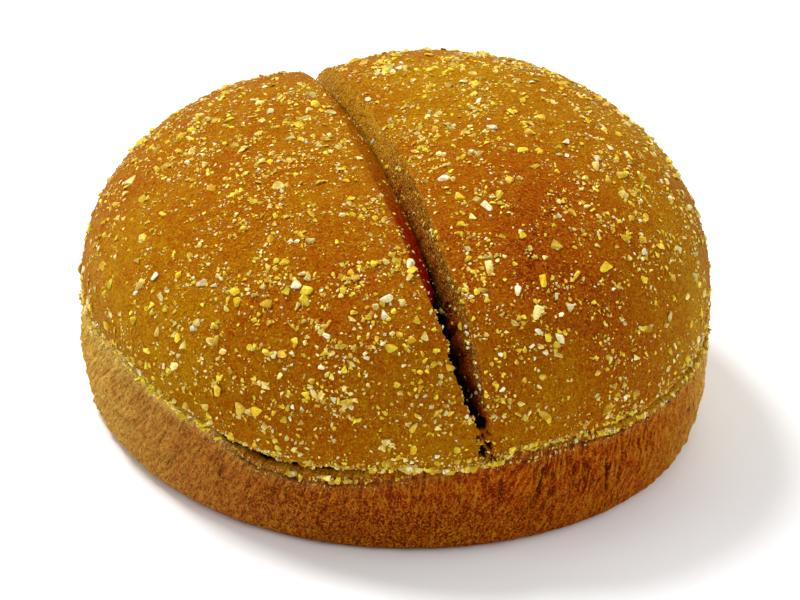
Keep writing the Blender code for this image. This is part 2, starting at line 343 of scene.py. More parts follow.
class Mixture:  # a material, put together node by node
    def __init__(self, name, specular):
        self.material = bpy.data.materials.new(name)
        self.material.use_nodes = True
        self.tree = self.material.node_tree
        self.shader = self.tree.nodes["Principled BSDF"]
        self.give(self.shader, {"Specular IOR Level": specular})

    def give(self, node, inputs):
        for socket, value in inputs.items():
            if isinstance(value, bpy.types.NodeSocket):
                self.tree.links.new(value, node.inputs[socket])
            else:
                node.inputs[socket].default_value = value

    def add(self, kind, output, inputs=None, **settings):
        node = self.tree.nodes.new(kind)
        for name, value in settings.items():
            setattr(node, name, value)
        self.give(node, inputs or {})
        return node.outputs[output]

    def plus(self, a, b, times=1.0):  # a + b * times
        return self.add("ShaderNodeMath", 0, {0: b, 1: times, 2: a}, operation="MULTIPLY_ADD")

    def times(self, a, b):
        return self.add("ShaderNodeMath", 0, {0: a, 1: b}, operation="MULTIPLY")

    def ranged(self, value, low, high, toLow=0.0, toHigh=1.0):
        inputs = {"Value": value, "From Min": low, "From Max": high, "To Min": toLow, "To Max": toHigh}
        return self.add("ShaderNodeMapRange", "Result", inputs)

    def layered(self, colour, *layers):  # colours one over the other, each with its share
        colour = shades.get(colour, colour)
        for share, over in layers:
            inputs = {0: share, 6: colour, 7: shades.get(over, over)}
            colour = self.add("ShaderNodeMix", 2, inputs, data_type="RGBA")
        return colour

    def fact(self, name, output="Fac"):
        return self.add("ShaderNodeAttribute", output, attribute_name=name)

    def place(self, stretch=(1, 1, 1), turn=0.0):  # in millimetres
        where = self.add("ShaderNodeTexCoord", "Object")
        inputs = {"Vector": where, "Scale": tuple(s / millimetre for s in stretch), "Rotation": (0, 0, turn)}
        return self.add("ShaderNodeMapping", "Vector", inputs)

    def grain(self, where, perMillimetre, detail=2.0, rough=0.5):
        inputs = {"Vector": where, "Scale": perMillimetre, "Detail": detail, "Roughness": rough}
        return self.add("ShaderNodeTexNoise", "Fac", inputs)

    def baked(self, bake, *tones):
        colour = self.add("ShaderNodeValToRGB", "Color", {"Fac": bake})
        band = colour.node.color_ramp
        while len(band.elements) < len(tones):
            band.elements.new(0.5)
        for number, name in enumerate(tones):
            band.elements[number].position = number / (len(tones) - 1)
            band.elements[number].color = shades[name]
        return colour

    def finished(self, colour, roughness, height=None, relief=0.0, strength=1.0):
        self.give(self.shader, {"Base Color": colour, "Roughness": roughness})
        if height is not None:
            inputs = {"Height": height, "Strength": strength, "Distance": relief * millimetre}
            self.give(self.shader, {"Normal": self.add("ShaderNodeBump", "Normal", inputs)})
        return self.material


def crustMaterial():
    mix = Mixture("bakedCrust", 0.015)
    where = mix.place()
    blotch = mix.grain(where, 0.11, 3.0)
    patch = mix.grain(where, 0.42, 3.0)
    pebble = mix.grain(where, 1.1, 4.0, 0.7)
    fine = mix.grain(where, 2.8, 2.0, 0.62)
    flakes = mix.grain(where, 2.6, 3.0, 0.75)
    wrinkle = mix.grain(mix.place((1.0, 0.3, 0.8), 0.5), 1.3)

    bake = mix.fact("bake")
    for spots, low, most in (
        (blotch, 0.3, 0.11), (patch, 0.3, 0.08), (pebble, 0.25, -0.28), (fine, 0.25, -0.24),
    ):
        bake = mix.plus(bake, mix.ranged(spots, low, 1 - low, -most, most))
    mealTone = mix.layered(
        "mealDark",
        (mix.ranged(flakes, 0.43, 0.57), "meal"),
        (mix.ranged(fine, 0.56, 0.66, 0.0, 0.65), "flour"),
        (mix.ranged(patch, 0.6, 0.68, 0.0, 0.85), "searAndShade"),
    )
    colour = mix.layered(
        mix.baked(bake, "straw", "tan", "amber", "copper", "deep"),
        (mix.ranged(fine, 0.58, 0.69, 0.0, 0.6), "speck"),
        (mix.ranged(fine, 0.29, 0.41, 0.6, 0.0), "deep"),
        (mix.fact("meal"), mealTone),
        # dark red of the seared wall, with painted shade deep in the slash
        (mix.times(mix.fact("searAndShade"), mix.ranged(pebble, 0.3, 0.62, 1.2, 0.9)), "searAndShade"),
        # painted shade: near black in the slash's gap and the pits
        (mix.fact("paintedShade"), "paintedShade"),
        (mix.times(mix.fact("rim"), mix.ranged(pebble, 0.34, 0.6, 0.3, 1.1)), "rim"),
    )
    roughness = mix.plus(mix.ranged(patch, 0.3, 0.7, 0.5, 0.66), mix.fact("searAndShade"), -0.2)
    height = pebble
    for spots, amount in ((fine, 0.55), (wrinkle, 0.55), (patch, 1.2)):
        height = mix.plus(height, spots, amount)
    return mix.finished(colour, roughness, height, 0.62)


def heelMaterial():
    mix = Mixture("bakedHeel", 0.02)
    where, porous, floury = mix.place(), mix.fact("porous"), mix.fact("floury")
    streaks = mix.grain(mix.fact("strokes", "Vector"), 1.9, 2.0, 0.55)
    blotch = mix.grain(where, 0.14, 3.0)
    pebble = mix.grain(where, 1.1, 4.0, 0.72)
    fine = mix.grain(where, 3.1, 2.0, 0.6)
    inPore = mix.ranged(mix.plus(mix.grain(mix.place((1, 1, 0.8)), 2.3), porous, 0.05), 0.61, 0.66)
    stroked = mix.ranged(porous, 0, 1, 0.29, 0.12)
    spongy = mix.ranged(porous, 0, 1, 0.18, 0.62)
    smoother = mix.times(mix.ranged(floury, 0.2, 0.8, 1.0, 0.35), mix.ranged(porous, 0, 1, 0.4, 1.0))

    bake = mix.fact("bake")
    # the streaks, pebble and fine noise also raise the relief, so their ridges come out paler and hollows
    # darker: painted light and shade over the grain
    for spots, low, most, times in (
        (blotch, 0.3, 0.1, 1), (streaks, 0.32, -1, stroked),
        (pebble, 0.25, -0.16, 1), (fine, 0.25, -1, spongy),
    ):
        bake = mix.plus(bake, mix.ranged(spots, low, 1 - low, -most, most), times)
    flourHere = mix.times(floury, mix.ranged(pebble, 0.34, 0.54, 0.45, 1.1))
    colour = mix.layered(
        mix.baked(bake, "heelPale", "heelTan", "heelAmber", "heelCopper", "heelDeep"),
        # painted highlights: bright specks on the sponge
        (mix.ranged(fine, 0.57, 0.65, 0.0, 0.6), "heelSpeckAndHighlight"),
        # painted highlights along the strokes' ridges
        (mix.times(mix.ranged(streaks, 0.53, 0.62, 0.0, 1.9), stroked), "heelSpeckAndHighlight"),
        # painted shade: dark specks in the sponge
        (mix.times(mix.ranged(fine, 0.3, 0.42, 0.7, 0.0), smoother), "deep"),
        (mix.times(flourHere, mix.ranged(streaks, 0.3, 0.55, 0.55, 1.0)), "flour"),
        (mix.times(mix.fact("rim"), mix.ranged(pebble, 0.36, 0.58, 0.1, 1.1)), "rim"),
        # painted shade in the pores
        (mix.times(inPore, mix.times(smoother, 0.8)), "deep"),
        # painted shade, near black, in the crevice and the seam
        (mix.fact("paintedShade"), "paintedShade"),
    )
    height = mix.plus(mix.times(streaks, 1.8), pebble)
    height = mix.plus(height, mix.times(fine, mix.ranged(porous, 0, 1, 0.3, 0.75)))
    height = mix.plus(height, inPore, -0.5)
    return mix.finished(colour, mix.ranged(pebble, 0.3, 0.7, 0.52, 0.7), height, 1.0)


def grainMaterial(name, roughness):
    mix = Mixture(name, 0.12)
    where, own = mix.place(), mix.fact("tint", "Color")
    mottle = mix.ranged(mix.grain(where, 2.6), 0.3, 0.7, 0.74, 1.16)
    tone = mix.add("ShaderNodeVectorMath", "Vector", {0: own, "Scale": mottle}, operation="SCALE")
    return mix.finished(tone, roughness, mix.grain(where, 4.0), 0.1, 0.6)


bakedCrust = crustMaterial()
bakedHeel = heelMaterial()
print("crust materials mixed")


# the bread

def footMiddle():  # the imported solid's foot is centred here, in metres
    low = [v.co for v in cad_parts["bun"].data.vertices if v.co.z < 0.00002]
    apart = np.unique(np.round([(c.x, c.y) for c in low], 6), axis=0)
    return Vector((*apart.mean(0), 0))


bunMiddle = footMiddle()
attributeKinds = {1: ("FLOAT", "value"), 3: ("FLOAT_VECTOR", "vector"), 4: ("FLOAT_COLOR", "color")}


def addObject(name, data):
    made = bpy.data.objects.new(name, data)
    bpy.context.scene.collection.objects.link(made)
    return made


def makePiece(name, places, faces, material, facts, sharpFrom=None):
    mesh = bpy.data.meshes.new(name)
    mesh.from_pydata((places * millimetre + np.array(bunMiddle)).tolist(), [], faces)
    for factName, values in facts.items():
        kind, field = attributeKinds[values.shape[1] if values.ndim == 2 else 1]
        target = mesh.attributes.new(factName, kind, "POINT")
        target.data.foreach_set(field, values.astype(np.float32).ravel())
    mesh.materials.append(material)
    if sharpFrom:
        mesh.shade_smooth()
        mesh.set_sharp_from_angle(angle=math.radians(sharpFrom))
    piece = addObject(name, mesh)
    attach(piece, "root")
    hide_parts("bun")
    print(name, "made,", len(faces), "faces")
    return piece


def spacedOut(fine, coarse, fineLength, ease, total):  # from 0 to 1, close together at the start
    places = [0.0]
    while places[-1] < total:
        places.append(places[-1] + fine + (coarse - fine) * float(smooth((places[-1] - fineLength) / ease)))
    return np.array(places) / places[-1]


def ringNumbers(count, length, start=0):  # vertex numbers, ring after ring
    return [list(range(start + k * length, start + (k + 1) * length)) for k in range(count)]


def strips(rings):  # faces between closed rings of vertex numbers, each as long as the next
    faces = []
    for first, second in zip(rings, rings[1:]):
        faces += [(first[i - 1], second[i - 1], second[i], first[i]) for i in [*range(1, len(first)), 0]]
    return faces


crown = {
    # mesh across and along the slash: fine and coarse spacing, how far it is fine, how soon it is coarse
    "columns": (0.11, 0.62, 4.0, 5.0),
    "rows": (0.17, 0.57, 8, 6),
    "gape": (-130, 14),  # turn and width, in degrees, of the lip's raised stretch
    "grown": (-173, 40, 12),  # where crown and heel are baked into one: turn, half width, fade
    "ledge": (-38, 44, 14),  # where the heel's edge stands out as a ledge
    "raggedReach": 0.9,
    # how far the lip stands out, and how far back: over the gape, where grown on, over the ledge
    "out": 0.12,
    "pulledIn": (0.62, 0.25, 0.35),
    # noise on it, outwards and downwards: height, size, octaves, shift
    "outNoises": ((0.18, 2.6, 2, 11),),
    "lowNoises": ((0.2, 3.4, 2, 0), (0.14, 1.3, 2, 5)),
    "raised": 0.3,  # its edge over the gape
    "flap": 1.9,  # the lip hangs lower at the front, up to a torn step
    "flapTurns": (-110, -96, -90.5, -88.3),
    "flapReach": 2.6,
    # its hidden underside: inset, drop
    "underside": ((0.08, 0.06), (0.3, 0.14), (0.7, 0.16), (1.3, 0.1), (2.2, 0.05), (3.4, 0.5), (6.5, 2)),
    "undersideMiddle": 3,
    # how deeply it is baked, and patches baked more or less: x, y, radius, more
    "bake": 0.37,
    "bakePatches": (
        (15, -39, 13, 0.31), (10, -24, 13, 0.26), (-32, -6, 18, 0.09), (-20, -31, 12, 0.18),
        (-25, -43, 10, 0.1), (-1, -38, 8, 0.12), (13, 12, 18, -0.22), (37, -33, 9, -0.28),
        (10, -51, 7, -0.14), (-16, -48, 10, -0.09), (-46, -22, 9, -0.22), (-48, -2, 11, -0.24),
        (42, -2, 14, -0.12),
    ),
    "slashBake": (0.1, 5.0),  # how much more beside the slash, and how far from it
    # the red sear on the left wall, partly painted shade deep in the slash, along the way and up the wall
    "searWay": (0, 0.05, 0.12, 0.2, 0.3, 0.38, 0.46, 0.6),
    "searsAndShade": (0.5, 0.95, 1, 1, 0.82, 0.45, 0.22, 0.12),
    "pitWay": 0.042,  # the small pits lie before this
}


def gaping(angle):  # 1 where the fold under the lip gapes, at the front left
    return bumpAt(angle, *crown["gape"])


def closing(angle):
    return stretchAt(angle, *crown["grown"])


def ledgeAt(angle):
    return stretchAt(angle, *crown["ledge"])


def flapAt(angle):
    turn = np.degrees(angle)
    begins, full, tears, ends = crown["flapTurns"]
    return smooth((turn - begins) / (full - begins)) * (1 - smooth((turn - tears) / (ends - tears)))


def skinAt(angle, rise):  # the crust's own surface, with the slash cut and the lip's raggedness
    places = domePlace(domeRadius(rise), angle, rise)
    places, facts = carved(places + outward(places) * crustRelief(places)[:, None])
    edge = bell(rise, crown["raggedReach"])
    overGap, whereGrown, overLedge = crown["pulledIn"]
    out = crown["out"] + summed(crown["outNoises"], roundLumps, angle)
    out = out - overGap * gaping(angle) - whereGrown * closing(angle) - overLedge * ledgeAt(angle)
    low = summed(crown["lowNoises"], roundLumps, angle)
    low = low * (1 - closing(angle)) + crown["raised"] * gaping(angle)
    places = places + ringWays(angle) * (out * edge)[:, None]
    places[:, 2] += low * edge - crown["flap"] * flapAt(angle) * bell(rise, crown["flapReach"])
    return places, facts


def bakeOfCrown(places, across):  # 0 straw, 0.5 amber, 1 deep brown
    bake = np.full(len(places), crown["bake"])
    for x, y, radius, more in crown["bakePatches"]:
        bake += more * np.exp(-((places[:, 0] - x) ** 2 + (places[:, 1] - y) ** 2) / radius**2)
    more, width = crown["slashBake"]
    return bake + more * bell(across, width)


def crownFacts(places, facts):  # the colours' shares at each place
    way, depth, toLeft, toRight = (facts[name] for name in ("way", "depth", "toLeft", "toRight"))
    wallHere = smooth(depth / 0.5)
    onRight = wallHere * facts["onRight"] * (1 - facts["inGap"])
    onLeft = wallHere * (1 - facts["onRight"]) * (1 - facts["inGap"])
    # the left wall's dark red: partly seared crust, partly painted shade, darkest deep down the wall
    leftSearAndShade = np.interp(way, crown["searWay"], crown["searsAndShade"])
    leftSearAndShade = leftSearAndShade * np.interp(toLeft, (0.0, 0.6, 0.85, 1.0), (1.0, 0.95, 0.8, 0.2))
    # painted shade: the right wall darkens to dark red towards the gap
    rightWallShade = np.interp(way, (0.05, 0.16, 0.22), (1, 0.9, 0)) * (1 - toRight) ** 2.6
    rightWallShade = np.maximum(rightWallShade, 0.5 * (1 - toRight) ** 4)
    # painted shade: the small pits are painted black, and round them dark red
    hollow = smooth((depth - 0.42) / 0.4) * (way < crown["pitWay"])
    shadeNearPits = smooth((depth - 0.03) / 0.3) * (way < crown["pitWay"]) * (depth > 0)
    paleWall = 0.95 * onRight * smooth((way - 0.36) / 0.25)
    cutEdge = 0.6 * facts["peel"] * smooth((way - 0.05) / 0.1) * (way < 0.95) * (0.5 + lumps(places, 1.4))
    angle = turnOf(places)
    lipOnLeft = 0.45 * closing(angle) * bell(places[:, 2] - lipHeight(angle), 1.1)
    return {
        "bake": bakeOfCrown(places, facts["across"]),
        "meal": onRight * smooth((way - 0.025) / 0.035),
        "searAndShade": np.maximum.reduce([onLeft * leftSearAndShade, onRight * rightWallShade, 0.5 * shadeNearPits]),
        # painted shade: near black in the gap and the pits
        "paintedShade": np.maximum(facts["inGap"] * smooth(depth / 3), hollow),
        "rim": np.maximum.reduce([cutEdge, paleWall, lipOnLeft]),
    }


def makeCrown():
    half = spacedOut(*crown["columns"], meridianLength)
    columns = np.concatenate([-half[:0:-1], half])
    rows = spacedOut(*crown["rows"], 2 * meridianLength) * 2 - 1
    a, b = [grid.ravel() for grid in np.meshgrid(columns, rows, indexing="ij")]
    x = a * np.sqrt(1 - b * b / 2)  # the grid, rounded to a disc
    y = b * np.sqrt(1 - a * a / 2)
    room = np.clip(1 - x * x / np.clip(1 - y * y, 1e-6, None), 0, 1)
    x = x + np.interp(y, creaseY, creaseX) * np.where(a == 0, 1, room)
    angle = np.arctan2(y, x)
    rise = np.interp(np.clip(np.hypot(x, y), 0, 1), meridianShare, meridianRise)
    places, facts = skinAt(angle, rise)

    number = np.arange(len(a)).reshape(len(columns), len(rows))
    faces = np.stack([number[:-1, :-1], number[1:, :-1], number[1:, 1:], number[:-1, 1:]], -1)
    faces = faces.reshape(-1, 4).tolist()
    topFaces = len(faces)
    rim = np.concatenate([number[:, 0], number[-1, 1:], number[-2::-1, -1], number[0, -2:0:-1]])
    skirts = []
    for inset, drop in crown["underside"]:
        skirts.append(places[rim] - ringWays(angle[rim]) * inset - (0, 0, drop))
    rings = [rim.tolist()] + ringNumbers(len(skirts), len(rim), len(places))
    faces += strips(rings)
    last, middle = rings[-1], rings[-1][-1] + 1
    faces += [(last[i], middle, last[(i + 1) % len(last)]) for i in range(len(last))]
    under = np.concatenate(skirts + [places[rim].mean(0)[None] - (0, 0, crown["undersideMiddle"])])
    # the hidden underside is painted dark: painted shade
    hidden = {"bake": 0.5, "meal": 0, "searAndShade": 0, "paintedShade": 0.8, "rim": 0}
    values = {}
    for name, value in crownFacts(places, facts).items():
        values[name] = np.append(value, np.full(len(under), hidden[name]))
    places = np.concatenate([places, under])
    return makePiece("crown", places, faces, bakedCrust, values, 70), topFaces


crownPiece, crownTopFaces = makeCrown()


lipEdge = {
    "around": 2600,
    # from the crust down to the torn edge: height over the lip, how far it stands proud
    "down": ((1.3, -0.14), (1.0, -0.02), (0.75, 0.03), (0.5, 0.06), (0.3, 0.08), (0.14, 0.08), (0.0, 0.05)),
    # on round the edge: share of the fringe's drop, inset
    "under": ((0.45, 0.0), (0.8, 0.03), (1.0, 0.1), (0.95, 0.22), (0.55, 0.45), (0.2, 0.9), (-0.2, 1.8)),
    "fringe": 0.2,
    "fringeRange": (-0.6, 1.1),
    "raggedness": ((2.4, 0.3), (0.9, 0.24), (0.45, 0.12)),  # size, how much
    "pale": 0.85,
}


def makeLipEdge():  # the thin pale edge of the crust, torn along the fold
    angle = np.linspace(-math.pi, math.pi, lipEdge["around"], endpoint=False)
    ragged = sum(half * roundLumps(angle, size, shift=size * 9) * 1.6 for size, half in lipEdge["raggedness"])
    fringe = (lipEdge["fringe"] + ragged) * (1 + 0.7 * gaping(angle))
    fringe = np.clip(fringe, *lipEdge["fringeRange"])
    fringe = fringe * (1 - 0.6 * closing(angle))
    paleness = np.clip(0.5 + 1.2 * roundLumps(angle, 3.0, 2, shift=61.0), 0, 1) * (1 - 0.4 * gaping(angle))
    rings, allFacts = [], []
    for rise, proud in lipEdge["down"]:
        places, facts = skinAt(angle, np.full_like(angle, rise))
        rings.append(places + outward(places) * (proud + 0.05 * lumps(places, 0.5, shift=3.0))[:, None])
        allFacts.append(crownFacts(places, facts))
        pale = lipEdge["pale"] * (1 - rise / lipEdge["down"][0][0]) ** 1.5 * paleness
        allFacts[-1]["rim"] = np.maximum(allFacts[-1]["rim"], pale)
    last, lastFacts = rings[-1], allFacts[-1]
    for share, inset in lipEdge["under"]:
        ring = last - ringWays(angle) * inset
        ring[:, 2] -= share * fringe + 0.06 * lumps(ring, 0.6, shift=inset)
        rings.append(ring)
        allFacts.append(dict(lastFacts))
        # under the edge the pale rim fades and painted shade darkens the fold, except where crown and heel
        # are grown together
        if inset > 0.1:
            allFacts[-1]["rim"] = lastFacts["rim"] * 0.3
            allFacts[-1]["paintedShade"] = (0.5 if inset < 0.4 else 0.9) * (1 - closing(angle))
    loops = ringNumbers(len(rings), len(angle))
    values = {name: np.concatenate([facts[name] for facts in allFacts]) for name in lastFacts}
    places = np.concatenate(rings)
    return makePiece("lipEdge", places, strips(loops + loops[:1]), bakedCrust, values, 60)


lipPiece = makeLipEdge()


strands = {  # threads of dough drawn across the slash
    # both ends' way, place across and height, and the sag
    "threads": (
        (0.176, -1.9, -1, 0.158, 0.1, -2.6, 0.8),
        (0.164, -1.6, -1.7, 0.146, 0.4, -2.4, 0.6),
        (0.158, -1.7, -2.4, 0.15, 0.2, -1.7, 0.4),
    ),
    "radius": 0.03,
    "sides": 6,
    "steps": 16,
    "sagWay": (0, 0.5, 0.8),
    "facts": {"bake": 0.3, "meal": 0.9, "searAndShade": 0.15, "paintedShade": 0, "rim": 0.2},
}


def besideCrease(way, across, height):
    y = np.interp(way, creaseWay, creaseY)
    place = fromDisc(np.interp(y, creaseY, creaseX)[None], y[None])[0]
    return place + (across, 0, 0) + outOfCrease(way) * height


def makeStrands():
    sides, steps = strands["sides"], strands["steps"]
    share = np.linspace(0, 1, steps + 1)[:, None, None]
    turn = np.arange(sides)[:, None] * math.tau / sides
    circle = np.concatenate([turn * 0, np.cos(turn), np.sin(turn)], 1)
    thick = strands["radius"] * (1 + 0.8 * abs(2 * share - 1) ** 6)
    places, faces = [], []
    for *start, wayEnd, acrossEnd, heightEnd, sag in strands["threads"]:
        start, end = besideCrease(*start), besideCrease(wayEnd, acrossEnd, heightEnd)
        middle = start + (end - start) * share - np.array(strands["sagWay"]) * sag * np.sin(math.pi * share)
        rings = ringNumbers(steps + 1, sides, len(places) * (steps + 1) * sides)
        faces += strips(rings) + [rings[0], rings[-1][::-1]]
        places.append((middle + thick * circle).reshape(-1, 3))
    places = np.concatenate(places)
    values = {name: np.full(len(places), value) for name, value in strands["facts"].items()}
    makePiece("strands", places, faces, bakedCrust, values, 180)


makeStrands()


heel = {
    "around": 1080,
    "wallRows": 50,
    "wallTop": 1.9,  # the even rows begin this far under the shelf's edge
    # insets of the shelf's rows, from under the crown out to its edge
    "shelf": (7, 5, 4, 3.4, 3.0, 2.7, 2.4, 2.15, 1.9, 1.6, 1.3, 1.0, 0.75, 0.5, 0.3, 0.14, 0.04),
    "raised": 0.6,  # the shelf over the gape
    "crest": 1.5,
    "crestLow": (0.405, 0.68),  # how far under the lip the crest lies, and how much more over the gape
    "grownOn": 1.9,  # how far it climbs into the crown where the two are baked into one
    "grownOver": 0.35,
    "crevice": (0.9, 2.4, 0.55),  # under the lip where it gapes: depth, inset, width
    "edgeRound": 0.22,
    # its top edge stands out: how far, and over which share of the side's height
    "grownOut": (1.0, 0.16),
    "gapeOut": (0.3, 0.16),
    "ledgeOut": (1.05, 0.1),
    # noise on its edge and on the crest: height, size, octaves, shift
    "ragged": ((0.2, 2.4, 2, 41), (0.16, 0.9, 2, 43)),
    "rolled": ((0.45, 4.5, 2, 51), (0.4, 1.2, 1, 53)),
    # drops from the shelf's edge of the rows round the second seam
    "seam": (0.08, 0.2, 0.34, 0.48, 0.6, 0.72, 0.84, 0.96, 1.08, 1.22, 1.38, 1.6),
    "seamDrop": 0.92,
    "seamHeight": 0.2,
    "seamDepths": (0.12, 0.4, 0.34),  # all round, and how much more under the ledge and at the front left
    "seamLeft": (-132, 22),
    "footSteps": 6,
    "baseRings": (0.9, 0.6, 0.25),
    "stroke": 0.4,
    "folds": 0.34,
    # how far the baked strokes lean on their way up, by turn in degrees
    "leanTurns": (-210, -168, -150, -130, -112, -96, -85, -76, -60, -45, -20, 30, 150),
    "leans": (0.9, 0.9, 0.7, 0.38, 0.12, 0.05, 0.34, 0.15, 0.18, -0.1, -0.3, -0.2, 0.9),
    # how dark it is, by turn: partly how deeply it is baked, partly painted shade on the front and painted
    # light on the left
    "bakeTurns": (-210, -190, -170, -150, -130, -115, -98, -80, -62, -50, -35, -20, 0, 60, 120, 150),
    "bakesLightAndShade": (0.0, 0.02, 0.34, 0.68, 0.74, 0.72, 0.76, 0.85, 0.74, 0.53, 0.3, 0.16, 0.26, 0.34, 0.3, 0.08),
    # turn and width of its pale left side, and of where it is paler, floury, spongy and edged in white
    "leftSide": (-180, 36),
    "paleFront": (-95, 45),
    "paleEdge": (-35, 22),
    "flouryRight": (-17, 21),
    "spongyFront": (-110, 30),
    "whiteLedge": (-46, 32),
    # long creases: turn and height at the top, turn and height at the bottom, depth, width
    "creases": (
        (-82.1, 13.4, -84.6, 7, 1.3, 0.46), (-90.3, 13.2, -90.2, 9.3, 0.55, 0.38),
        (-80.2, 12.6, -81.4, 8.3, 0.6, 0.36), (-76.2, 12.7, -76.6, 8.6, 0.7, 0.38),
        (-73.2, 13.2, -74, 9.8, 0.65, 0.34), (-69.1, 11.6, -69, 6.2, 1.25, 0.44),
        (-65.4, 13, -65.9, 9.6, 0.65, 0.34), (-61.3, 13.2, -62.2, 8.8, 0.65, 0.36),
        (-139.5, 12, -141.2, 5.5, 0.3, 0.4), (-129, 12, -130.2, 6, 0.3, 0.4),
        (-149.6, 10.5, -152.6, 5, 0.4, 0.5), (-119.8, 11, -121, 6.5, 0.35, 0.45),
    ),
    # hollows in its side: turn, height, half width, half height, depth
    "dimples": (
        (-186.8, 13.2, 0.9, 1.6, 0.65), (-170, 12.8, 0.55, 0.75, 0.5), (-173.5, 13.6, 0.45, 0.5, 0.35),
        (-171, 8.6, 0.35, 0.7, 0.35), (-176.8, 10.4, 0.4, 0.5, 0.3),
    ),
}


def seamDepth(angle):  # the second seam, under the shelf's own edge, deepest at the front right
    least, underLedge, atLeft = heel["seamDepths"]
    depth = least + underLedge * ledgeAt(angle) + atLeft * bumpAt(angle, *heel["seamLeft"])
    depth = depth * (1 - closing(angle)) * (1 - 0.8 * flapAt(angle))
    return depth * np.clip(0.8 + 0.8 * roundLumps(angle, 3.0, 2, shift=31.0), 0.05, 2)


def heelWall(angle, share):  # the side's radius, from the shelf's edge (0) down to the foot's rounding (1)
    straight = bread["heelTopRadius"] + (bread["footRadius"] - bread["heelTopRadius"]) * share
    edge = 0
    for name, where in (("grownOut", closing), ("gapeOut", gaping), ("ledgeOut", ledgeAt)):
        out, fade = heel[name]
        edge = edge + out * where(angle) * bell(share, fade)
    return straight + bread["heelBarrel"] * np.sin(math.pi * share) + edge


def roundTo(angle, turn):  # along the heel's side from a turn in degrees, in millimetres
    return turnFrom(angle, turn) * math.pi / 180 * bread["footRadius"]


def creased(angle, z):  # how deep the long creases and the hollows go
    depth = np.zeros_like(z)
    for topTurn, topZ, lowTurn, lowZ, deep, width in heel["creases"]:
        across = roundTo(angle, np.interp(z, (lowZ, topZ), (lowTurn, topTurn)))
        fade = smooth((z - lowZ + 0.8) / 1.6) * smooth((topZ + 0.8 - z) / 1.6)
        fade = fade * (1 + 0.2 * np.sin(z * 2.1 + topTurn))
        depth += deep * fade * (bell(across, width) - 0.5 * bell(across + 1.7 * width, width))
    for turn, height, halfWidth, halfHeight, deep in heel["dimples"]:
        across = roundTo(angle, turn) / halfWidth
        depth += deep * np.exp(-(across**2) - ((z - height) / halfHeight) ** 2)
    return depth


def heelDrop(angle):  # how far the heel's top edge lies under the lip
    grown = closing(angle)
    fold = bread["foldGap"] * foldOpening(angle) * (1 - grown)
    return fold - heel["grownOver"] * grown - heel["raised"] * gaping(angle)


def heelRings(angle, top, groove):  # its rows from under the crown down to the middle of its base
    ragged = summed(heel["ragged"], roundLumps, angle)
    rolled = summed(heel["rolled"], roundLumps, angle)
    crestUnder, crestMore = heel["crestLow"]
    crest = lipHeight(angle) - crestUnder - (crestMore - rolled) * gaping(angle)
    crest = crest + heel["grownOn"] * np.clip(2.2 * closing(angle) - 1.2, 0, 1)
    deep, creviceInset, creviceWidth = heel["crevice"]
    for inset in heel["shelf"]:
        climb = math.sin(math.pi / 2 * min(inset / heel["crest"], 1))
        z = top + (crest - top) * climb - heel["edgeRound"] * math.exp(-inset / 0.16)
        z = z - deep * gaping(angle) * bell(inset - creviceInset, creviceWidth)
        z = z + (0.4 if inset > 4.5 else 0) + 0.25 * ragged * math.exp(-inset)
        yield heelWall(angle, 0.0) - inset + ragged * max(0, 1 - inset), z, "shelf", inset
    fall = top - bread["footRound"]
    for drop in heel["seam"]:
        inward = groove * bell(drop - heel["seamDrop"], heel["seamHeight"])
        wide = heelWall(angle, drop / fall) - inward + ragged * max(0, 1 - drop / 0.9)
        yield wide, top - heel["edgeRound"] - drop + 0.25 * ragged, "seam", 0
    wallTop = top - heel["wallTop"]
    for row in range(heel["wallRows"] + 1):
        z = wallTop + (bread["footRound"] - wallTop) * row / heel["wallRows"]
        yield heelWall(angle, (top - z) / fall), z, "wall", 0
    for step in range(1, heel["footSteps"] + 1):
        turn = math.pi / 2 * step / heel["footSteps"]
        wide = bread["footRadius"] - bread["footRound"] * (1 - math.cos(turn))
        yield wide, np.full_like(angle, bread["footRound"] * (1 - math.sin(turn))), "foot", 0
    for share in heel["baseRings"]:
        yield bread["footRadius"] * share, np.zeros_like(angle), "base", 0


